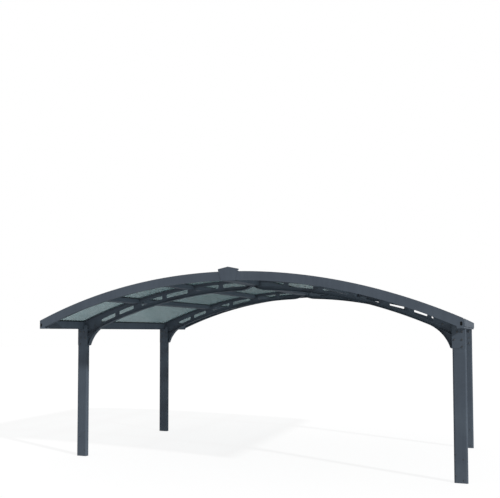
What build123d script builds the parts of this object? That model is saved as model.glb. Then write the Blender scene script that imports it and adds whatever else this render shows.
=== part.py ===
import os
from math import asin, cos, degrees, sin, sqrt

from build123d import *

# Overall sizes, in millimetres. X runs across the parking bay, Y from front to rear, Z up.
length = 5000.0  # over the two end arches
width = 5900.0  # over the two gutters
clear_height = 2000.0  # floor to the underside of the gutters
roof_rise = 641.0  # rim of a gutter to the crown of an end arch

# Posts: flat box sections under the gutters
post_width = 173.0
post_depth = 80.0
post_wall = 3.0
post_corner = 22.0
post_spacing = 2928.0  # front to rear, between centres
post_inset = 15.0  # outer face of the gutter to the outer face of the post

# Feet: steel sleeves with a floor plate, inside the posts
foot_height = 390.0
foot_wall = 4.0
foot_plate = 8.0
foot_clearance = 0.3
anchor_hole = 13.0
anchor_spacing = 90.0

# Gutters
gutter_width = 120.0
gutter_height = 115.0
gutter_wall = 3.0
gutter_foot = 22.0  # height of the narrower foot
gutter_step = 8.0  # foot set back from the faces

# End arches: curved channels, open to the inside
arch_depth = 118.0
arch_thickness = 50.0
arch_wall = 3.0
arch_end_inset = 10.0  # outer face of the gutter to the cut end
arch_heel = 76.0  # cut end to the step down over the gutter's end
stop_height = 90.0  # plate that closes the gutter, above the underside of the gutter
outlet_width = 22.0
outlet_height = 44.0
outlet_inset = 24.0  # cut end of the arch to the middle of the outlet
outlet_rise = 55.0  # underside of the arch to the middle of the outlet

# Roof sheets
sheet_drop = 40.0  # crown of the end arch to the underside of the sheet
sheet_thickness = 1.2
sheet_overhang = 45.0  # reach over the gutter
sheet_clearance = 2.0

# Arched rafters: a slotted web inside a flange, deeper towards the posts
rafter_crown_drop = 193.0  # crown of the end arch to the lower edge at the ridge
rafter_heel_drop = 82.0  # top of the post to the lower edge at the post
rafter_web = 4.0
rafter_flange = 4.0
rafter_toe_reach = 205.0  # ridge to where the lower edge starts to curve up
rafter_tip = 6.0  # upright end at the ridge
rafter_nose = 40.0  # solid end at the ridge, before the web starts
slot_height = 53.0
slot_lift = 61.0  # lower edge of the rafter to the lower edge of a slot
slot_margin = 72.0  # middle of a purlin to the nearest slot
slot_gap = 75.0  # between the two slots of a bay
slot_corner = 9.0  # cut off each corner of a slot
ridge_margin = 109.0  # ridge to the nearest slot
knee_margin = 237.0  # inner face of the post to the nearest slot

# Purlins
purlin_width = 65.0
purlin_depth = 65.0
purlin_wall = 2.5
purlin_rows = 2
purlin_clearance = 0.2
purlin_end_gap = 24.0  # inner face of the gutter to the end of the last bay

# Knee brackets: a shoe round the post head, with a web and a curved rim up to the rafter
knee_plate = 5.0
knee_rim = 5.0
knee_reach = 288.0  # inner face of the post to the tip on the rafter
knee_drop = 261.0  # top of the post to the foot of the bracket
knee_lap = 24.0  # foot of the bracket, in from the post
knee_bow = 44.0  # straight line between the curve's ends to its middle
knee_edge = 8.0  # outer edge of the plate to the post's outer face
knee_corner = 10.0  # cut off the lower corners
knee_head = 60.0  # top of the plate above the top of the post

# Ridge: two beams side by side, a capping and a cover at each end
ridge_beam_width = 95.0
ridge_beam_drop = 126.0  # crown of the end arch to the underside of the beam
ridge_beam_wall = 3.0
ridge_upstand = 25.0
cap_half_width = 140.0
cap_lift = 14.0  # crown of the end arch to the peak of the capping
cap_fall = 14.0  # peak to shoulder
cap_side = 20.0
cap_wall = 3.0
cover_lift = 61.0  # crown of the end arch to the peak of the end cover
cover_fall = 29.0  # peak to shoulder
cover_side = 20.0
cover_plate = 4.0
cover_return = 30.0  # lip over the end arches

# Places that follow from the sizes above
half_length = length / 2
half_width = width / 2
gutter_inner_x = half_width - gutter_width
post_outer_x = half_width - post_inset
post_inner_x = post_outer_x - post_width
post_x = post_outer_x - post_width / 2
post_y = post_spacing / 2
gutter_rim_z = clear_height + gutter_height
crown_z = gutter_rim_z + roof_rise
roof_radius = (half_width**2 + roof_rise**2) / (2 * roof_rise)
roof_axis_z = crown_z - roof_radius
sheet_radius = roof_radius - sheet_drop
rafter_crown_z = crown_z - rafter_crown_drop
rafter_rise = rafter_crown_z - clear_height + rafter_heel_drop
rafter_radius = (post_inner_x**2 + rafter_rise**2) / (2 * rafter_rise)
rafter_axis_z = rafter_crown_z - rafter_radius
arch_end_x = half_width - arch_end_inset
channel_y = half_length - arch_thickness  # inner edge of an end arch
web_y = half_length - arch_wall  # inner face of its web
ridge_beam_z = crown_z - ridge_beam_drop
cap_peak_z = crown_z + cap_lift
cap_shoulder_z = cap_peak_z - cap_fall
cover_peak_z = crown_z + cover_lift
cover_shoulder_z = cover_peak_z - cover_fall
cover_rim_z = cover_shoulder_z - cover_side
first_bay_x = ridge_beam_width / 2
bay_width = (gutter_inner_x - purlin_end_gap - first_bay_x) / (purlin_rows + 1)
toe_turn = asin(rafter_toe_reach / rafter_radius)
toe_z = rafter_axis_z + rafter_radius * cos(toe_turn)
tip_z = ridge_beam_z - rafter_tip
toe_rise = (tip_z - toe_z) * cos(toe_turn) - rafter_toe_reach * sin(toe_turn)
toe_radius = (rafter_toe_reach**2 + (tip_z - toe_z) ** 2) / (2 * toe_rise)
toe_axis_x = rafter_toe_reach + toe_radius * sin(toe_turn)
toe_axis_z = toe_z + toe_radius * cos(toe_turn)

sides = {"left": -1, "right": 1}
ends = {"front": -1, "rear": 1}
to_rear = (0, 1, 0)


def roof_point(radius, x):
    """A point at x on an arc about the roof's axis."""
    return (x, roof_axis_z + sqrt(radius**2 - x**2))


def rafter_point(lift, x):
    """A point at x, lifted squarely off the lower edge of the rafters."""
    return (x, rafter_axis_z + sqrt((rafter_radius + lift) ** 2 - x**2))


def toe_point(lift, x):
    """A point at x, lifted squarely off the curved toe of the rafters at the ridge."""
    return (x, toe_axis_z - sqrt((toe_radius - lift) ** 2 - (x - toe_axis_x) ** 2))


def purlin_x(row):
    """Distance from the ridge to the middle of a row of purlins."""
    return first_bay_x + row * bay_width


def section(y):
    """A plane across the carport at y, with X to the right and Z up."""
    return Plane(origin=(0, y, 0), x_dir=(1, 0, 0), z_dir=(0, -1, 0))


def write(piece, name):
    piece.part.label = name
    export_step(piece.part, f"parts/{name}.step")


def make_post(side, end):
    with BuildPart() as post:
        with BuildSketch():
            with Locations((side * post_x, end * post_y)):
                RectangleRounded(post_width, post_depth, post_corner)
                RectangleRounded(
                    post_width - 2 * post_wall,
                    post_depth - 2 * post_wall,
                    post_corner - post_wall,
                    mode=Mode.SUBTRACT,
                )
        extrude(amount=clear_height)
    return post


def make_foot(side, end):
    inset = post_wall + foot_clearance
    bore = inset + foot_wall
    with BuildPart() as foot:
        with BuildSketch() as sleeve:
            with Locations((side * post_x, end * post_y)):
                Rectangle(post_width - 2 * inset, post_depth - 2 * inset)
            chamfer(sleeve.vertices(), post_corner - inset)
        extrude(amount=foot_height)
        with BuildSketch(Plane.XY.offset(foot_plate)) as hollow:
            with Locations((side * post_x, end * post_y)):
                Rectangle(post_width - 2 * bore, post_depth - 2 * bore)
            chamfer(hollow.vertices(), post_corner - bore)
        extrude(amount=foot_height, mode=Mode.SUBTRACT)
        with BuildSketch():
            with Locations((side * post_x, end * post_y)):
                with GridLocations(anchor_spacing, 0, 2, 1):
                    Circle(anchor_hole / 2)
        extrude(amount=foot_plate, mode=Mode.SUBTRACT)
    return foot


def gutter_outline(side, inset):
    """Section of a gutter, drawn in by inset: a trough on a narrower foot."""
    outer_x = half_width - inset
    inner_x = gutter_inner_x + inset
    floor_z = clear_height + inset
    step_z = clear_height + gutter_foot + inset
    rim_z = gutter_rim_z
    with BuildSketch(Plane.XZ) as face:
        with BuildLine():
            Polyline(
                (side * (inner_x + gutter_step), floor_z),
                (side * (outer_x - gutter_step), floor_z),
                (side * (outer_x - gutter_step), step_z),
                (side * outer_x, step_z),
                (side * outer_x, rim_z),
                (side * inner_x, rim_z),
                (side * inner_x, step_z),
                (side * (inner_x + gutter_step), step_z),
                close=True,
            )
        make_face()
    return face.sketch


def make_gutter(side, y_from, y_to):
    with BuildPart() as gutter:
        with BuildSketch(section(y_from)):
            add(gutter_outline(side, 0))
            add(gutter_outline(side, gutter_wall), mode=Mode.SUBTRACT)
        extrude(amount=y_to - y_from, dir=to_rear)
    return gutter


def arch_outline(side, inset):
    """Face of an end arch, drawn in by inset: cut upright at the ridge, stepped down over the gutter's end."""
    outer = roof_radius - inset
    inner = roof_radius - arch_depth + inset
    start_x = inset
    end_x = arch_end_x - inset
    heel_x = arch_end_x - arch_heel + inset
    floor_z = clear_height + inset
    top = [roof_point(outer, side * x) for x in (start_x, (start_x + end_x) / 2, end_x)]
    bottom = [roof_point(inner, side * x) for x in (heel_x, (start_x + heel_x) / 2, start_x)]
    with BuildSketch(Plane.XZ) as face:
        with BuildLine():
            ThreePointArc(*top)
            Polyline(top[2], (side * end_x, floor_z), (side * heel_x, floor_z), bottom[0])
            ThreePointArc(*bottom)
            Line(bottom[2], top[0])
        make_face()
    return face.sketch


def make_end_arch(side, end):
    inward = (0, -end, 0)
    outlet_x = arch_end_x - outlet_inset
    with BuildPart() as arch:
        with BuildSketch(section(end * half_length)):
            add(arch_outline(side, 0))
        extrude(amount=arch_thickness, dir=inward)
        with BuildSketch(section(end * web_y)):
            add(arch_outline(side, arch_wall))
        extrude(amount=arch_thickness, dir=inward, mode=Mode.SUBTRACT)
        with BuildSketch(section(end * (channel_y + arch_wall))):
            add(gutter_outline(side, 0))
            with Locations((side * half_width, clear_height)):
                Rectangle(2 * gutter_width, 2 * stop_height, mode=Mode.INTERSECT)
        extrude(amount=arch_wall, dir=inward)
        with BuildSketch(section(end * half_length)):
            with Locations((side * outlet_x, clear_height + outlet_rise)):
                SlotOverall(outlet_height, outlet_width, rotation=90)
        extrude(amount=arch_thickness, dir=inward, mode=Mode.SUBTRACT)
    return arch


def make_sheet(side, y_from, y_to):
    start_x = ridge_upstand + sheet_clearance
    end_x = gutter_inner_x + sheet_overhang
    stations = (start_x, (start_x + end_x) / 2, end_x)
    top = [roof_point(sheet_radius + sheet_thickness, side * x) for x in stations]
    bottom = [roof_point(sheet_radius, side * x) for x in reversed(stations)]
    with BuildPart() as sheet:
        with BuildSketch(section(y_from)):
            with BuildLine():
                ThreePointArc(*top)
                Line(top[2], bottom[0])
                ThreePointArc(*bottom)
                Line(bottom[2], top[0])
            make_face()
        extrude(amount=y_to - y_from, dir=to_rear)
    return sheet


def rafter_outline(side, inset, start_x):
    """Face of an arched rafter, drawn in by inset: notched under the ridge beam and over the post."""
    saddle_z = ridge_beam_z - inset
    saddle_x = ridge_beam_width + inset
    end_x = gutter_inner_x - inset
    seat_z = clear_height + inset
    heel_x = post_inner_x - inset
    toe_x = rafter_toe_reach + inset * sin(toe_turn)
    outer = sheet_radius - inset
    top = [roof_point(outer, side * x) for x in (saddle_x, (saddle_x + end_x) / 2, end_x)]
    bottom = [rafter_point(inset, x) for x in (heel_x, (heel_x + toe_x) / 2, toe_x)]
    toe = [bottom[2], toe_point(inset, (toe_x + start_x) / 2), toe_point(inset, start_x)]
    bottom, toe = ([(side * x, z) for x, z in arc] for arc in (bottom, toe))
    with BuildSketch(Plane.XZ) as face:
        with BuildLine():
            Polyline((side * start_x, saddle_z), (side * saddle_x, saddle_z), top[0])
            ThreePointArc(*top)
            Polyline(top[2], (side * end_x, seat_z), (side * heel_x, seat_z), bottom[0])
            ThreePointArc(*bottom)
            ThreePointArc(*toe)
            Line(toe[2], (side * start_x, saddle_z))
        make_face()
    return face.sketch


def slot_spans():
    """Start and end of each slot along X, two in each bay between the purlin lines."""
    spans = []
    for row in range(purlin_rows + 1):
        start_x = purlin_x(row) + slot_margin if row else ridge_margin
        last = row == purlin_rows
        end_x = post_inner_x - knee_margin if last else purlin_x(row + 1) - slot_margin
        middle = (start_x + end_x) / 2
        spans += [(start_x, middle - slot_gap / 2), (middle + slot_gap / 2, end_x)]
    return spans


def make_rafter(side, end):
    front_y = end * post_y - post_depth / 2
    pocket = (post_depth - rafter_web) / 2
    with BuildPart() as rafter:
        with BuildSketch(section(front_y)):
            add(rafter_outline(side, 0, 0))
        extrude(amount=post_depth, dir=to_rear)
        for pocket_y in (front_y, front_y + pocket + rafter_web):
            with BuildSketch(section(pocket_y)):
                add(rafter_outline(side, rafter_flange, rafter_nose))
            extrude(amount=pocket, dir=to_rear, mode=Mode.SUBTRACT)
        for start_x, end_x in slot_spans():
            stations = (start_x, (start_x + end_x) / 2, end_x)
            upper = [rafter_point(slot_lift + slot_height, side * x) for x in stations]
            lower = [rafter_point(slot_lift, side * x) for x in reversed(stations)]
            with BuildSketch(section(front_y + pocket)) as slot:
                with BuildLine():
                    ThreePointArc(*upper)
                    Line(upper[2], lower[0])
                    ThreePointArc(*lower)
                    Line(lower[2], upper[0])
                make_face()
                chamfer(slot.vertices(), slot_corner)
            extrude(amount=rafter_web, dir=to_rear, mode=Mode.SUBTRACT)
    return rafter


def make_purlin(side, row, y_from, y_to):
    """A tube between two webs, cut back at the top where it runs under a rafter's flange."""
    x = purlin_x(row)
    seat = sqrt((sheet_radius - purlin_clearance) ** 2 - (purlin_width / 2) ** 2)
    tilt = asin(x / seat)
    centre = roof_point(seat - purlin_depth / 2, x)
    place = Location((side * centre[0], centre[1], 0), (0, 0, -side * degrees(tilt)))
    cope = rafter_flange + purlin_clearance
    with BuildPart() as purlin:
        with BuildSketch(section(y_from)):
            with Locations(place):
                Rectangle(purlin_width, purlin_depth)
                Rectangle(purlin_width - 2 * purlin_wall, purlin_depth - 2 * purlin_wall, mode=Mode.SUBTRACT)
        extrude(amount=y_to - y_from, dir=to_rear)
        for end in ends.values():
            with BuildSketch(section(end * post_y - post_depth / 2)):
                with Locations(place):
                    with Locations((0, purlin_depth / 2)):
                        Rectangle(purlin_width, 2 * cope)
            extrude(amount=post_depth, dir=to_rear, mode=Mode.SUBTRACT)
    return purlin


def make_knee(side, end):
    """A shoe on three faces of the post head; its web and rim run in under the rafter."""
    front_y = end * post_y - post_depth / 2
    tip = rafter_point(0, post_inner_x - knee_reach)
    foot = (post_inner_x - knee_lap, clear_height - knee_drop)
    run = (foot[0] - tip[0], foot[1] - tip[1])
    chord = sqrt(run[0] ** 2 + run[1] ** 2)
    middle = (
        (tip[0] + foot[0]) / 2 - run[1] / chord * knee_bow,
        (tip[1] + foot[1]) / 2 + run[0] / chord * knee_bow,
    )
    bow_radius = (chord**2 / 4 + knee_bow**2) / (2 * knee_bow)
    bow_centre = (
        middle[0] + run[1] / chord * bow_radius,
        middle[1] - run[0] / chord * bow_radius,
    )
    back_x = post_inner_x - knee_plate
    outer_x = post_outer_x - knee_edge
    inner_head_x = gutter_inner_x - knee_edge
    head_z = clear_height + knee_head
    heel_z = rafter_point(0, post_inner_x)[1]
    curve = [(side * x, z) for x, z in (tip, middle, foot)]
    heel = [rafter_point(0, side * x) for x in (post_inner_x, post_inner_x - knee_reach / 2, tip[0])]
    with BuildPart() as knee:
        for cheek_y in (front_y - knee_plate, front_y + post_depth):
            with BuildSketch(section(cheek_y)) as cheek:
                with BuildLine():
                    Polyline(
                        (side * back_x, foot[1]),
                        (side * outer_x, foot[1]),
                        (side * outer_x, clear_height),
                        (side * inner_head_x, clear_height),
                        (side * inner_head_x, head_z),
                        (side * back_x, head_z),
                        close=True,
                    )
                make_face()
                chamfer(cheek.vertices().sort_by_distance((side * outer_x, foot[1]))[0], knee_corner)
            extrude(amount=knee_plate, dir=to_rear)
        with BuildSketch(section(front_y)):
            with BuildLine():
                Polyline(
                    (side * back_x, foot[1]),
                    (side * post_inner_x, foot[1]),
                    (side * post_inner_x, heel_z),
                    (side * back_x, heel_z),
                    close=True,
                )
            make_face()
        extrude(amount=post_depth, dir=to_rear)
        with BuildSketch(section(front_y + (post_depth - rafter_web) / 2)) as web:
            with BuildLine():
                ThreePointArc(*curve)
                Polyline(curve[2], (side * post_inner_x, foot[1]), heel[0])
                ThreePointArc(*heel)
            make_face()
            chamfer(web.vertices().sort_by_distance(curve[2])[0], knee_corner)
        extrude(amount=rafter_web, dir=to_rear)
        with BuildSketch(section(front_y)):
            add(web.sketch)
            with Locations((side * bow_centre[0], bow_centre[1])):
                Circle(bow_radius + knee_rim, mode=Mode.INTERSECT)
        extrude(amount=post_depth, dir=to_rear)
    return knee


def ridge_beam_outline(side, inset):
    """Section of a ridge beam, drawn in by inset: a box with an upstand that carries the capping."""
    slope_share = cap_fall / (cap_half_width - cap_wall)
    seat_z = roof_point(sheet_radius, ridge_beam_width)[1] - inset
    floor_z = ridge_beam_z + inset
    outer_x = ridge_beam_width - inset
    upstand_x = ridge_upstand - inset
    top_z = cap_peak_z - cap_wall - inset
    with BuildSketch(Plane.XZ) as face:
        with BuildLine():
            Polyline(
                (side * inset, floor_z),
                (side * outer_x, floor_z),
                (side * outer_x, seat_z),
                (side * upstand_x, seat_z),
                (side * upstand_x, top_z - slope_share * upstand_x),
                (side * inset, top_z - slope_share * inset),
                close=True,
            )
        make_face()
    return face.sketch


def make_ridge_beam(side):
    with BuildPart() as beam:
        with BuildSketch(section(-channel_y)):
            add(ridge_beam_outline(side, 0))
            add(ridge_beam_outline(side, ridge_beam_wall), mode=Mode.SUBTRACT)
        extrude(amount=2 * channel_y, dir=to_rear)
    return beam


def make_ridge_cap():
    """A shallow gable over the sheets' upper ends, from one end arch to the other."""
    rim_z = cap_shoulder_z - cap_side
    with BuildPart() as cap:
        with BuildSketch(section(-channel_y)):
            with BuildLine():
                Polyline(
                    (-cap_half_width, rim_z),
                    (-cap_half_width, cap_shoulder_z),
                    (0, cap_peak_z),
                    (cap_half_width, cap_shoulder_z),
                    (cap_half_width, rim_z),
                    (cap_half_width - cap_wall, rim_z),
                    (cap_half_width - cap_wall, cap_shoulder_z - cap_wall),
                    (0, cap_peak_z - cap_wall),
                    (cap_wall - cap_half_width, cap_shoulder_z - cap_wall),
                    (cap_wall - cap_half_width, rim_z),
                    close=True,
                )
            make_face()
        extrude(amount=2 * channel_y, dir=to_rear)
    return cap


def cover_hood(inset, floor_z):
    """Upper part of an end cover, drawn in by inset: upright sides under a shallow gable."""
    half = cap_half_width - inset
    with BuildSketch(Plane.XZ) as face:
        with BuildLine():
            Polyline(
                (-half, floor_z),
                (-half, cover_shoulder_z - inset),
                (0, cover_peak_z - inset),
                (half, cover_shoulder_z - inset),
                (half, floor_z),
                close=True,
            )
        make_face()
    return face.sketch


def make_ridge_end(end):
    """A shield over the joint of two end arches, with a lip back over them."""
    with BuildPart() as cover:
        with BuildSketch(section(end * half_length)):
            add(cover_hood(0, cover_rim_z))
            with BuildLine():
                Polyline(
                    (-cap_half_width, cover_rim_z),
                    (cap_half_width, cover_rim_z),
                    (ridge_beam_width, ridge_beam_z),
                    (-ridge_beam_width, ridge_beam_z),
                    close=True,
                )
            make_face()
        extrude(amount=cover_plate, dir=(0, end, 0))
        with BuildSketch(section(end * half_length)):
            add(cover_hood(0, cover_rim_z))
            add(cover_hood(cover_plate, cover_rim_z), mode=Mode.SUBTRACT)
        extrude(amount=cover_return, dir=(0, -end, 0))
    return cover


os.makedirs("parts", exist_ok=True)

for end_name, end in ends.items():
    for side_name, side in sides.items():
        corner = f"{end_name}_{side_name}"
        write(make_post(side, end), f"post_{corner}")
        write(make_foot(side, end), f"post_foot_{corner}")
        write(make_knee(side, end), f"knee_bracket_{corner}")
        write(make_rafter(side, end), f"arch_rafter_{corner}")
        write(make_end_arch(side, end), f"end_arch_{corner}")
    write(make_ridge_end(end), f"ridge_end_{end_name}")

purlin_bays = {
    "front": (-web_y, -post_y - rafter_web / 2),
    "middle": (rafter_web / 2 - post_y, post_y - rafter_web / 2),
    "rear": (post_y + rafter_web / 2, web_y),
}
sheet_bays = {
    "front": (sheet_clearance - web_y, -post_y),
    "middle": (-post_y, post_y),
    "rear": (post_y, web_y - sheet_clearance),
}
for side_name, side in sides.items():
    write(make_gutter(side, -channel_y, 0), f"gutter_{side_name}_front")
    write(make_gutter(side, 0, channel_y), f"gutter_{side_name}_rear")
    write(make_ridge_beam(side), f"ridge_beam_{side_name}")
    for bay, (y_from, y_to) in sheet_bays.items():
        write(make_sheet(side, y_from, y_to), f"roof_sheet_{side_name}_{bay}")
    for row, row_name in enumerate(("upper", "lower"), start=1):
        for bay, (y_from, y_to) in purlin_bays.items():
            write(make_purlin(side, row, y_from, y_to), f"purlin_{row_name}_{side_name}_{bay}")

write(make_ridge_cap(), "ridge_capping")
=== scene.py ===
import bpy
import numpy as np
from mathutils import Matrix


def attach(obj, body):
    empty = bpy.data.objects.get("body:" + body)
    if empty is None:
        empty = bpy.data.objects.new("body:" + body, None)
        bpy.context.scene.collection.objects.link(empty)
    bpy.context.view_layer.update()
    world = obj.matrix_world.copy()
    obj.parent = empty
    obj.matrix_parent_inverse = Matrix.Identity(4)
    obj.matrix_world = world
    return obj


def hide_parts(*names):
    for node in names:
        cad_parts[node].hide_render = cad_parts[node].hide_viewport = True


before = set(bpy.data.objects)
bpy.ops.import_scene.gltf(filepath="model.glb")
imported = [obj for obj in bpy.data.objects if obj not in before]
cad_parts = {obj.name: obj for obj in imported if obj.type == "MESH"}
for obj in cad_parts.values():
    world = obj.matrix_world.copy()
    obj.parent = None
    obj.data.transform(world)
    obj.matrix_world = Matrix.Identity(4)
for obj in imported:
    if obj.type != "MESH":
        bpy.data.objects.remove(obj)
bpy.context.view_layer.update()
scene = bpy.context.scene
scene.view_settings.view_transform = "Standard"
print("frame loaded:", len(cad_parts), "nodes")


def linear(hexText):  # sRGB hex to linear RGBA
    srgb = np.array([int(hexText[i:i + 2], 16) for i in (1, 3, 5)]) / 255
    rgb = np.where(srgb <= 0.04045, srgb / 12.92, ((srgb + 0.055) / 1.055) ** 2.4)
    return (*rgb.tolist(), 1.0)


def addNode(tree, kind, inputs=None, **settings):  # a node with its settings, and its values or links
    node = tree.nodes.new(kind)
    for name, value in settings.items():
        setattr(node, name, value)
    for socket, value in (inputs or {}).items():
        if isinstance(value, bpy.types.NodeSocket):
            tree.links.new(value, node.inputs[socket])
        else:
            node.inputs[socket].default_value = value
    return node


def setRamp(ramp, low, high, lowAt=0.0, highAt=1.0):  # the two ends of a colour ramp
    first, last = ramp.color_ramp.elements
    first.position, last.position = lowAt, highAt
    first.color, last.color = linear(low), linear(high)


def newMaterial(name):
    material = bpy.data.materials.new(name)
    material.use_nodes = True
    material.node_tree.nodes.clear()
    return material, material.node_tree


def newPiece(name, points, faces, material, uv=None, sharpDegrees=35):
    mesh = bpy.data.meshes.new(name)
    mesh.from_pydata(points.reshape(-1, 3).tolist(), [], faces)
    if uv is not None:
        corners = np.empty(len(mesh.loops), np.int32)
        mesh.loops.foreach_get("vertex_index", corners)
        layer = mesh.uv_layers.new(name="surface")
        layer.data.foreach_set("uv", uv.reshape(-1, 2)[corners].astype(np.float32).ravel())
    mesh.polygons.foreach_set("use_smooth", np.ones(len(mesh.polygons), bool))
    mesh.set_sharp_from_angle(angle=np.radians(sharpDegrees))
    mesh.materials.append(material)
    piece = bpy.data.objects.new(name, mesh)
    scene.collection.objects.link(piece)
    return piece


def shellFaces(rows, cols, flip):  # a lower and an upper grid of points, joined all round their edge
    n = np.arange(rows * cols).reshape(rows, cols)
    quads = np.stack([n[:-1, :-1], n[1:, :-1], n[1:, 1:], n[:-1, 1:]], -1).reshape(-1, 4)
    rim = np.concatenate([n[:-1, 0], n[-1, :-1], n[:0:-1, -1], n[0, :0:-1]])
    ahead = np.roll(rim, -1)
    count = rows * cols
    wall = np.stack([rim, ahead, ahead + count, rim + count], -1)
    faces = np.concatenate([quads[:, ::-1], quads + count, wall])
    return (faces[:, ::-1] if flip else faces).tolist()


def powderCoat():  # polyester powder coat on extruded aluminium: matt, faint orange peel, dull at the splashed foot
    material, tree = newMaterial("powderCoatedAluminium")
    coat = dict(deep="#424952", pale="#4a525b", dusty="#5a6168", cloudMm=450, streakMm=35, peelMm=5, splashMm=260,
                streakSquash=0.06, streakShare=0.3, toneFrom=0.32, toneTo=0.68, dustShare=0.5, peelStrength=0.08,
                peelDepth=0.001, smoothest=0.64, roughest=0.76, specular=0.03)
    place = addNode(tree, "ShaderNodeTexCoord").outputs["Object"]
    cloud = addNode(tree, "ShaderNodeTexNoise", {"Vector": place, "Scale": 1000 / coat["cloudMm"], "Detail": 4.0})
    upright = addNode(tree, "ShaderNodeMapping", {
        "Vector": place, "Scale": (1.0, 1.0, coat["streakSquash"])})  # rain streaks run down
    streak = addNode(tree, "ShaderNodeTexNoise", {
        "Vector": upright.outputs["Vector"], "Scale": 1000 / coat["streakMm"], "Detail": 2.0})
    worn = addNode(tree, "ShaderNodeMix", {
        0: coat["streakShare"], 2: cloud.outputs["Fac"], 3: streak.outputs["Fac"]})
    tone = addNode(tree, "ShaderNodeValToRGB", {"Fac": worn.outputs[0]})
    setRamp(tone, coat["deep"], coat["pale"], coat["toneFrom"], coat["toneTo"])
    height = addNode(tree, "ShaderNodeSeparateXYZ", {"Vector": place}).outputs["Z"]
    low = addNode(tree, "ShaderNodeMapRange", {
        "Value": height, "From Min": coat["splashMm"] / 1000, "From Max": 0.0, "To Min": 0.0,
        "To Max": coat["dustShare"]})
    splash = addNode(tree, "ShaderNodeMath", {
        0: low.outputs["Result"], 1: cloud.outputs["Fac"]}, operation="MULTIPLY")
    colour = addNode(tree, "ShaderNodeMix", {
        0: splash.outputs[0], 6: tone.outputs["Color"], 7: linear(coat["dusty"])}, data_type="RGBA")
    peel = addNode(tree, "ShaderNodeTexNoise", {"Vector": place, "Scale": 1000 / coat["peelMm"], "Detail": 2.0})
    bump = addNode(tree, "ShaderNodeBump", {
        "Height": peel.outputs["Fac"], "Strength": coat["peelStrength"], "Distance": coat["peelDepth"]})
    gloss = addNode(tree, "ShaderNodeMapRange", {
        "Value": worn.outputs[0], "To Min": coat["smoothest"], "To Max": coat["roughest"]})
    shader = addNode(tree, "ShaderNodeBsdfPrincipled", {
        "Base Color": colour.outputs[2], "Roughness": gloss.outputs["Result"], "Normal": bump.outputs["Normal"],
        "IOR": 1.5, "Specular IOR Level": coat["specular"]})
    addNode(tree, "ShaderNodeOutputMaterial", {"Surface": shader.outputs["BSDF"]})
    return material


def smokedSheet():  # extruded polycarbonate, smoke grey-green: see-through, glossy, streaked along the waves
    material, tree = newMaterial("smokedPolycarbonate")
    smoke = dict(deep="#566b6e", pale="#677d81", through="#d8e2e4", solid=0.36, streakMm=22, runMm=900,
                 smoothest=0.06, roughest=0.14)
    along = addNode(tree, "ShaderNodeUVMap", uv_map="surface").outputs["UV"]  # u down the slope, v across the waves
    stretch = addNode(tree, "ShaderNodeMapping", {
        "Vector": along, "Scale": (1000 / smoke["runMm"], 1000 / smoke["streakMm"], 1.0)})
    streak = addNode(tree, "ShaderNodeTexNoise", {"Vector": stretch.outputs["Vector"], "Scale": 1.0, "Detail": 3.0})
    tone = addNode(tree, "ShaderNodeValToRGB", {"Fac": streak.outputs["Fac"]})
    setRamp(tone, smoke["deep"], smoke["pale"])
    gloss = addNode(tree, "ShaderNodeMapRange", {
        "Value": streak.outputs["Fac"], "To Min": smoke["smoothest"], "To Max": smoke["roughest"]})
    skin = addNode(tree, "ShaderNodeBsdfPrincipled", {
        "Base Color": tone.outputs["Color"], "Roughness": gloss.outputs["Result"], "IOR": 1.58})
    # light passes two faces, so each gives half of the tint
    clear = addNode(tree, "ShaderNodeBsdfTransparent", {"Color": linear(smoke["through"])})
    both = addNode(tree, "ShaderNodeMixShader", {
        0: smoke["solid"], 1: clear.outputs["BSDF"], 2: skin.outputs["BSDF"]})
    addNode(tree, "ShaderNodeOutputMaterial", {"Surface": both.outputs["Shader"]})
    return material


def blackZinc():  # black zinc plate on steel: dark and blotchy, with a dull shine
    material, tree = newMaterial("blackZincSteel")
    plate = dict(deep="#22262b", pale="#33383e", spotMm=6, smoothest=0.3, roughest=0.48)
    place = addNode(tree, "ShaderNodeTexCoord").outputs["Object"]
    spot = addNode(tree, "ShaderNodeTexNoise", {"Vector": place, "Scale": 1000 / plate["spotMm"], "Detail": 2.0})
    tone = addNode(tree, "ShaderNodeValToRGB", {"Fac": spot.outputs["Fac"]})
    setRamp(tone, plate["deep"], plate["pale"])
    gloss = addNode(tree, "ShaderNodeMapRange", {
        "Value": spot.outputs["Fac"], "To Min": plate["smoothest"], "To Max": plate["roughest"]})
    shader = addNode(tree, "ShaderNodeBsdfPrincipled", {
        "Base Color": tone.outputs["Color"], "Roughness": gloss.outputs["Result"], "IOR": 1.5})
    addNode(tree, "ShaderNodeOutputMaterial", {"Surface": shader.outputs["BSDF"]})
    return material


def mouldedRubberAndShade():  # moulded EPDM rubber: near black, soft sheen, a fine pitted skin
    material, tree = newMaterial("mouldedRubberAndShade")
    # this near-black is the rubber's own colour on the plugs and ridge closers, and painted shade on the strips at
    # the purlins and, in part, at the eaves
    skin = dict(deep="#060707", pale="#0f1011", pitMm=3, pitStrength=0.2, pitDepth=0.0005, smoothest=0.6,
                roughest=0.78, specular=0.1)
    place = addNode(tree, "ShaderNodeTexCoord").outputs["Object"]
    pits = addNode(tree, "ShaderNodeTexNoise", {"Vector": place, "Scale": 1000 / skin["pitMm"], "Detail": 3.0})
    tone = addNode(tree, "ShaderNodeValToRGB", {"Fac": pits.outputs["Fac"]})
    setRamp(tone, skin["deep"], skin["pale"])
    bump = addNode(tree, "ShaderNodeBump", {
        "Height": pits.outputs["Fac"], "Strength": skin["pitStrength"], "Distance": skin["pitDepth"]})
    gloss = addNode(tree, "ShaderNodeMapRange", {
        "Value": pits.outputs["Fac"], "To Min": skin["smoothest"], "To Max": skin["roughest"]})
    shader = addNode(tree, "ShaderNodeBsdfPrincipled", {
        "Base Color": tone.outputs["Color"], "Roughness": gloss.outputs["Result"], "Normal": bump.outputs["Normal"],
        "IOR": 1.5, "Specular IOR Level": skin["specular"]})
    addNode(tree, "ShaderNodeOutputMaterial", {"Surface": shader.outputs["BSDF"]})
    return material


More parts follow.
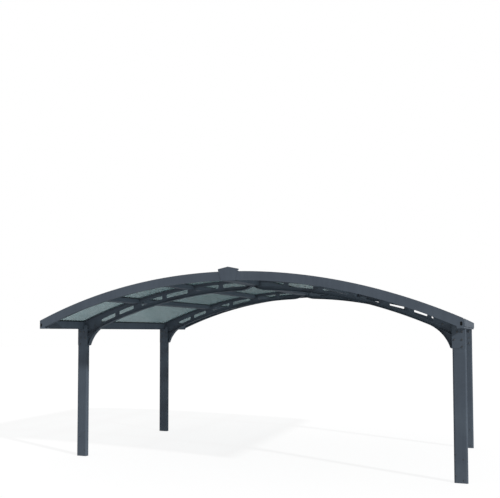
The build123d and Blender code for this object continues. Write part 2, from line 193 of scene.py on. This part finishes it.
coated, smoked, zinc, rubberAndShade = powderCoat(), smokedSheet(), blackZinc(), mouldedRubberAndShade()
for name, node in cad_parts.items():
    node.data.materials.clear()
    node.data.materials.append(zinc if name.startswith("post_foot") else coated)
print("materials made and given to the frame")

roof = dict(halfWidth=2.95, rise=0.641, rimZ=2.115, sheetDrop=0.040)
roofRadius = (roof["halfWidth"] ** 2 + roof["rise"] ** 2) / (2 * roof["rise"])
roofAxisZ = roof["rimZ"] + roof["rise"] - roofRadius
sheetRadius = roofRadius - roof["sheetDrop"]
waves = dict(pitch=0.076, depth=0.016, thickness=0.0012, perWave=12, alongSteps=48, fromX=0.027, toX=2.875)
laps = dict(fromY=1.426, toY=1.502, lift=0.0016)  # the end sheets lie on the middle one, by one wave
sheetBays = {"front": (-2.495, -1.426), "middle": (-1.502, 1.502), "rear": (1.426, 2.495)}


def waveRise(y):  # half the depth times one minus the cosine of y over the pitch
    return waves["depth"] / 2 * (1 - np.cos(2 * np.pi * y / waves["pitch"]))


def lapLift(y, fromY):  # the end sheets' lift over the middle one
    return np.where(np.abs(y) >= fromY, laps["lift"], 0.0)


def roofHeight(x, radius):  # height at each x of the arcs with these radii about the roof's axis
    return roofAxisZ + np.sqrt(radius[None] ** 2 - x[:, None] ** 2)


def corrugatedSheet(side, bay):
    # an arc about the roof's axis, its radius raised by the wave, and the upper face set out squarely from the lower
    yFrom, yTo = sheetBays[bay]
    lift = 0.0 if bay == "middle" else laps["lift"]
    cols = int(round((yTo - yFrom) / waves["pitch"] * waves["perWave"])) + 1
    rows = waves["alongSteps"] + 1
    turn = np.linspace(np.arcsin(waves["fromX"] / sheetRadius), np.arcsin(waves["toX"] / sheetRadius), rows)
    a, y = np.meshgrid(turn, np.linspace(yFrom, yTo, cols), indexing="ij")
    slope = np.pi * waves["depth"] / waves["pitch"] * np.sin(2 * np.pi * y / waves["pitch"])
    square = np.sqrt(1 + slope ** 2)
    shells = []
    for out in (0.0, waves["thickness"]):
        r = sheetRadius + lift + waveRise(y) + out / square
        shells.append(np.stack([side * r * np.sin(a), y - slope * out / square, roofAxisZ + r * np.cos(a)], -1))
    uv = np.stack([a * sheetRadius, y], -1)
    sideName = "left" if side < 0 else "right"
    piece = newPiece(f"corrugated_{sideName}_{bay}", np.stack(shells), shellFaces(rows, cols, side < 0), smoked,
                     uv=np.stack([uv, uv]), sharpDegrees=60)
    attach(piece, "root")
    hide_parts(f"roof_sheet_{sideName}_{bay}")


for side in (-1, 1):
    for bay in sheetBays:
        corrugatedSheet(side, bay)
print("roof sheets made")

closerAndStripSizes = dict(halfLength=2.448, lift=0.0002, bed=0.0008, width=0.022, ridgeX=0.104, ridgeWidth=0.027, ridgeZ=2.7530,
              purlinX=(0.9345, 1.854), eaveX=2.832, eaveZ=2.1153)


# a near-black strip along the roof: a real closer under the ridge capping, a real closer at the eaves whose dark also
# paints the shade line there, and painted shade alone at the purlins
def closerAndShadeStrip(name, side, x, low, high):
    # four edges along the roof, two low and two high at an inner and an outer x, of which one pair follows the waves
    count = low.shape[1]
    x = np.repeat(np.array([x[0], x[1], x[1], x[0]])[:, None], count, 1)
    y = np.repeat(np.linspace(-closerAndStripSizes["halfLength"], closerAndStripSizes["halfLength"], count)[None], 4, 0)
    points = np.stack([side * x, y, np.concatenate([low, high[::-1]])], -1)
    n = np.arange(4 * count).reshape(4, count)
    ahead = np.roll(n, -1, 0)
    quads = np.stack([n[:, :-1], n[:, 1:], ahead[:, 1:], ahead[:, :-1]], -1).reshape(-1, 4)
    faces = np.concatenate([quads, n[:, :1].T, n[::-1, -1:].T])
    piece = newPiece(f"{name}_" + ("left" if side < 0 else "right"), points,
                     (faces[:, ::-1] if side < 0 else faces).tolist(), rubberAndShade)
    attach(piece, "root")


def closersAndShadeStrips():
    y = np.linspace(-closerAndStripSizes["halfLength"], closerAndStripSizes["halfLength"],
                    int(round(2 * closerAndStripSizes["halfLength"] / waves["pitch"] * waves["perWave"])) + 1)
    over = sheetRadius + waveRise(y) + lapLift(y, laps["fromY"]) + waves["thickness"] + closerAndStripSizes["lift"]
    under = sheetRadius + waveRise(y) + lapLift(y, laps["toY"]) - closerAndStripSizes["lift"]
    bed = np.full_like(y, sheetRadius - closerAndStripSizes["bed"])
    for side in (-1, 1):
        x = np.array([closerAndStripSizes["ridgeX"], closerAndStripSizes["ridgeX"] + closerAndStripSizes["ridgeWidth"]])
        closerAndShadeStrip("ridge_closer", side, x, roofHeight(x, over), np.full((2, len(y)), closerAndStripSizes["ridgeZ"]))
        # painted shade: these near-black strips along each purlin's uphill edge stand for the shade between purlin
        # and sheet
        for row, start in zip(("upper", "lower"), closerAndStripSizes["purlinX"]):
            x = np.array([start, start + closerAndStripSizes["width"]])
            closerAndShadeStrip(f"{row}_purlin_closer", side, x, roofHeight(x, bed), roofHeight(x, under))
        # a real eave closer, whose near-black also paints the shade line along the top of the gutter
        x = np.array([closerAndStripSizes["eaveX"], closerAndStripSizes["eaveX"] + closerAndStripSizes["width"]])
        closerAndShadeStrip("eave_closer_and_shade", side, x, np.full((2, len(y)), closerAndStripSizes["eaveZ"]), roofHeight(x, under))


closersAndShadeStrips()
# the purlin strips are painted shade, and the eave strips are partly painted shade
print("foam closers made")


def heads(name, spots, facing, profile, sides, material=zinc, stretch=0.0):
    # a profile of radius and height turned about each spot's normal and pulled apart by stretch, capped at both ends
    radius, height = np.array(profile, float).T
    angle = (np.arange(sides) + 0.5) * 2 * np.pi / sides
    pulled = np.outer(radius, np.sin(angle)) + stretch * np.sign(np.sin(angle))
    ring = np.stack([np.outer(radius, np.cos(angle)), pulled, np.repeat(height[:, None], sides, 1)], -1)
    ring = ring.reshape(-1, 3)
    steep = 0.7  # a normal nearer upright than this takes x as its guide, any other takes z
    pick = np.where(np.abs(facing[:, 2:]) < steep, [[0.0, 0.0, 1.0]], [[1.0, 0.0, 0.0]])
    across = np.cross(pick, facing)
    across /= np.linalg.norm(across, axis=1, keepdims=True)
    axes = np.stack([across, np.cross(facing, across), facing], 1)
    points = spots[:, None, :] + np.einsum("vk,pkc->pvc", ring, axes)
    rings = len(profile)
    n = np.arange(rings * sides).reshape(rings, sides)
    ahead = np.roll(n, -1, 1)
    quads = np.stack([n[:-1], ahead[:-1], ahead[1:], n[1:]], -1).reshape(-1, 4)
    starts = np.arange(len(spots))[:, None, None] * rings * sides
    faces = (quads[None] + starts).reshape(-1, 4).tolist()
    faces += (n[-1][None] + starts[:, 0]).tolist() + (n[0][::-1][None] + starts[:, 0]).tolist()
    piece = newPiece(name, points, faces, material, sharpDegrees=30)
    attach(piece, "root")


posts = dict(y=1.464, faceOut=0.040, plateOut=0.045, webOut=0.002)


def onPosts(places, out):  # each place in x and z, on the front and back of all four posts
    side, end, face, pick = np.meshgrid([-1, 1], [-1, 1], [-1, 1], np.arange(len(places)), indexing="ij")
    xz = np.array(places)[pick]
    spots = np.stack([side * xz[..., 0], end * posts["y"] + face * out, xz[..., 1]], -1)
    return spots.reshape(-1, 3), np.stack([0.0 * face, face, 0.0 * face], -1).reshape(-1, 3)


bolt = dict(washer=[(0.0125, -0.0005), (0.0125, 0.0018), (0.0115, 0.0024), (0.004, 0.0024)],
            hexagon=[(0.0095, 0.002), (0.0095, 0.0088), (0.0082, 0.0100), (0.002, 0.0100)],
            cheek=[(2.822, 1.957), (2.882, 1.957), (2.786, 1.855), (2.882, 1.853), (2.884, 1.764)],
            web=[(2.642, 2.059)])
for part, out in (("cheek", posts["plateOut"]), ("web", posts["webOut"])):
    heads(f"{part}_bolt_washers", *onPosts(bolt[part], out), bolt["washer"], 20)
    heads(f"{part}_bolt_heads", *onPosts(bolt[part], out), bolt["hexagon"], 6)

footScrew = dict(places=[(2.790, 0.367), (2.881, 0.307), (2.790, 0.096), (2.881, 0.038)],
                 dome=[(0.0085, -0.0005), (0.0085, 0.001), (0.0078, 0.0028), (0.0058, 0.0044), (0.003, 0.0052),
                       (0.001, 0.0053)])
heads("foot_screws", *onPosts(footScrew["places"], posts["faceOut"]), footScrew["dome"], 16)

sheetScrew = dict(everyWaves=3, xRows=(0.967, 1.8865, 2.843),
                  cap=[(0.0095, -0.0004), (0.0095, 0.0012), (0.0085, 0.0026), (0.0056, 0.0032), (0.0054, 0.0066),
                       (0.0040, 0.0078), (0.001, 0.0080)])
crests = (np.arange(-32, 32, sheetScrew["everyWaves"]) + 0.5) * waves["pitch"]
side, x, y = np.meshgrid([-1, 1], sheetScrew["xRows"], crests, indexing="ij")
turn = np.arcsin(x / sheetRadius)
facing = np.stack([side * np.sin(turn), 0 * y, np.cos(turn)], -1).reshape(-1, 3)
crest = (sheetRadius + waves["depth"] + waves["thickness"] + lapLift(y, laps["fromY"])).reshape(-1, 1)
spots = facing * crest + np.stack([0 * y, y, 0 * y + roofAxisZ], -1).reshape(-1, 3)
heads("sheet_screws", spots, facing, sheetScrew["cap"], 12)

capScrew = dict(x=0.117, peakZ=2.770, fall=0.1, perSide=9, everyMetres=0.608)
y = (np.arange(capScrew["perSide"]) - (capScrew["perSide"] - 1) / 2) * capScrew["everyMetres"]
side, y = np.meshgrid([-1, 1], y, indexing="ij")
z = capScrew["peakZ"] - capScrew["fall"] * capScrew["x"]
spots = np.stack([side * capScrew["x"], y, 0 * y + z], -1).reshape(-1, 3)
facing = np.stack([side * capScrew["fall"], 0 * y, 0 * y + 1], -1).reshape(-1, 3) / np.hypot(1, capScrew["fall"])
heads("capping_screws", spots, facing, sheetScrew["cap"], 12)

plug = dict(x=2.916, z=2.055, faceY=2.5, stretch=0.011,
            lip=[(0.0105, -0.004), (0.0105, 0.0), (0.0130, 0.0), (0.0132, 0.0010), (0.0122, 0.0018), (0.0095, 0.0016),
                 (0.0080, 0.0002), (0.0020, 0.0002)])
side, end = np.meshgrid([-1, 1], [-1, 1], indexing="ij")
spots = np.stack([side * plug["x"], end * plug["faceY"], 0 * side + plug["z"]], -1).reshape(-1, 3)
facing = np.stack([0.0 * end, end, 0.0 * end], -1).reshape(-1, 3)
heads("outlet_plugs", spots, facing, plug["lip"], 24, rubberAndShade, plug["stretch"])
print("bolts, screws and plugs made")

purlin = dict(rows=(0.967, 1.8865), width=0.065, depth=0.065, clearance=0.0002,
              webs=[(-2.497, 1), (-1.466, -1), (-1.462, 1), (1.462, -1), (1.466, 1), (2.497, -1)])  # face, way along
cleat = dict(leg=0.032, run=0.045, plate=0.003, half=0.024, legBoltShare=0.58, runBoltShare=0.62,
             head=[(0.0085, -0.0003), (0.0085, 0.0015), (0.0064, 0.0016), (0.0064, 0.0062), (0.0050, 0.0070),
                   (0.001, 0.0070)])


def purlinCleats():
    # an angle of two legs, one on the purlin's side and one on the web that it meets, drawn along the purlin's depth
    leg, run, plate = cleat["leg"], cleat["run"], cleat["plate"]
    angleLine = np.array([(0, 0), (leg, 0), (leg, plate), (plate, plate), (plate, run), (0, run)])  # downhill, along
    side, row, web = (v.ravel() for v in np.meshgrid([-1, 1], np.arange(2), np.arange(6), indexing="ij"))
    x = np.array(purlin["rows"])[row]
    faceY, way = np.array(purlin["webs"], float)[web].T
    seat = np.sqrt((sheetRadius - purlin["clearance"]) ** 2 - (purlin["width"] / 2) ** 2)
    tilt = np.arcsin(x / seat)
    middleZ = roofAxisZ + np.sqrt((seat - purlin["depth"] / 2) ** 2 - x ** 2)
    downhill = np.stack([side * np.cos(tilt), 0 * tilt, -np.sin(tilt)], -1)
    upward = np.stack([side * np.sin(tilt), 0 * tilt, np.cos(tilt)], -1)
    along = np.stack([0 * way, way, 0 * way], -1)
    start = np.stack([side * x, faceY, middleZ], -1) + downhill * purlin["width"] / 2
    outline = start[:, None] + angleLine[None, :, :1] * downhill[:, None] + angleLine[None, :, 1:] * along[:, None]
    step = cleat["half"] * upward[:, None]
    points = np.stack([outline - step, outline + step], 1)
    n = np.arange(12).reshape(2, 6)
    ahead = np.roll(n, -1, 1)
    ends = np.array([[0, 3, 2, 1], [0, 5, 4, 3], [6, 7, 8, 9], [6, 9, 10, 11]])
    quads = np.concatenate([np.stack([n[0], ahead[0], ahead[1], n[1]], -1), ends])
    faces = np.where((side * way < 0)[:, None, None], quads[:, ::-1], quads) + 12 * np.arange(len(x))[:, None, None]
    piece = newPiece("purlin_cleats", points, faces.reshape(-1, 4).tolist(), coated)
    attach(piece, "root")
    onWeb = start + downhill * leg * cleat["legBoltShare"] + along * plate
    onSide = start + along * run * cleat["runBoltShare"] + downhill * plate
    heads("cleat_bolts", np.concatenate([onWeb, onSide]), np.concatenate([along, downhill]), cleat["head"], 12)


purlinCleats()

joiner = dict(halfLength=0.09, plate=0.0015, inner=2.8335, outer=2.9465, step=0.008, floorZ=2.0035, stepZ=2.0255,
              topZ=2.108)


def gutterJoiner(side):
    # the trough's inner outline, and the same outline set in by the plate, carried a short way along the gutter
    j = joiner
    line = np.array([(j["inner"], j["topZ"]), (j["inner"], j["stepZ"]), (j["inner"] + j["step"], j["stepZ"]),
                     (j["inner"] + j["step"], j["floorZ"]), (j["outer"] - j["step"], j["floorZ"]),
                     (j["outer"] - j["step"], j["stepZ"]), (j["outer"], j["stepZ"]), (j["outer"], j["topZ"])])
    setIn = np.array([(1, 0), (1, 1), (1, 1), (1, 1), (-1, 1), (-1, 1), (-1, 1), (-1, 0)]) * j["plate"]
    lines = np.stack([line, line + setIn])[:, :, None]
    y = np.broadcast_to(np.array([-j["halfLength"], j["halfLength"]]), (2, len(line), 2))
    points = np.stack([side * lines[..., 0] + 0 * y, y, lines[..., 1] + 0 * y], -1)
    piece = newPiece("gutter_joiner_" + ("left" if side < 0 else "right"), points,
                     shellFaces(len(line), 2, side < 0), coated)
    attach(piece, "root")


for side in (-1, 1):
    gutterJoiner(side)
print("cleats and joiners made")



def raysThatSee(tree):  # one for a camera, glossy or transmission ray, zero for a ray that gathers light
    path = addNode(tree, "ShaderNodeLightPath")
    seen = addNode(tree, "ShaderNodeMath", {
        0: path.outputs["Is Camera Ray"], 1: path.outputs["Is Glossy Ray"]}, operation="MAXIMUM")
    seen = addNode(tree, "ShaderNodeMath", {
        0: seen.outputs[0], 1: path.outputs["Is Transmission Ray"]}, operation="MAXIMUM")
    return seen.outputs[0]


floorMaterial, tree = newMaterial("paleFloor")
floorLook = dict(pale="#e8e8e8", bounce="#f0f0f0", glow=0.82, whiteLevel=1.05, size=60.0, drop=0.0005)
seen = raysThatSee(tree)
share = addNode(tree, "ShaderNodeMath", {0: seen, 1: floorLook["glow"]}, operation="MULTIPLY")
tint = addNode(tree, "ShaderNodeMix", {
    0: seen, 6: linear(floorLook["bounce"]), 7: linear(floorLook["pale"])},
    data_type="RGBA")  # a little more light goes back up under the roof
matt = addNode(tree, "ShaderNodeBsdfDiffuse", {"Color": tint.outputs[2]})
white = addNode(tree, "ShaderNodeEmission", {"Color": (1, 1, 1, 1), "Strength": floorLook["whiteLevel"]})
both = addNode(tree, "ShaderNodeMixShader", {
    0: share.outputs[0], 1: matt.outputs["BSDF"], 2: white.outputs["Emission"]})
addNode(tree, "ShaderNodeOutputMaterial", {"Surface": both.outputs["Shader"]})
half = floorLook["size"]
floorPoints = np.array([(-half, -half, 0), (half, -half, 0), (half, half, 0), (-half, half, 0)], float)
floorPoints[:, 2] -= floorLook["drop"]
floor = newPiece("floor", floorPoints, [(0, 1, 2, 3)], floorMaterial)

world = bpy.data.worlds.new("studio")
scene.world = world
world.use_nodes = True
tree = world.node_tree
tree.nodes.clear()
sky = dict(fill=0.62)
level = addNode(tree, "ShaderNodeMapRange", {"Value": raysThatSee(tree), "To Min": sky["fill"], "To Max": 1.0})
back = addNode(tree, "ShaderNodeBackground", {"Color": (1, 1, 1, 1), "Strength": level.outputs["Result"]})
addNode(tree, "ShaderNodeOutputWorld", {"Surface": back.outputs["Background"]})

key = dict(bearing=25.3, height=27.2, strength=3.2, spread=2.5)  # degrees from -X towards +Y, above the floor
sun = bpy.data.lights.new("keySun", "SUN")
sun.energy, sun.angle = key["strength"], np.radians(key["spread"])
sunObject = bpy.data.objects.new("keySun", sun)
sunObject.rotation_euler = (0, np.radians(90 - key["height"]), np.radians(-key["bearing"]))
scene.collection.objects.link(sunObject)

view = dict(place=(3.242, -11.077, 1.963), yaw=-20.53, pitch=2.66, lens=50.17, shift=(0.04, 0.10))
camera = bpy.data.cameras.new("camera")
camera.lens, camera.sensor_width = view["lens"], 36
camera.shift_x, camera.shift_y = view["shift"]
cameraObject = bpy.data.objects.new("camera", camera)
cameraObject.location = view["place"]
cameraObject.rotation_euler = (np.radians(90 + view["pitch"]), 0, np.radians(-view["yaw"]))
scene.collection.objects.link(cameraObject)
scene.camera = cameraObject
print("floor, light and camera set")
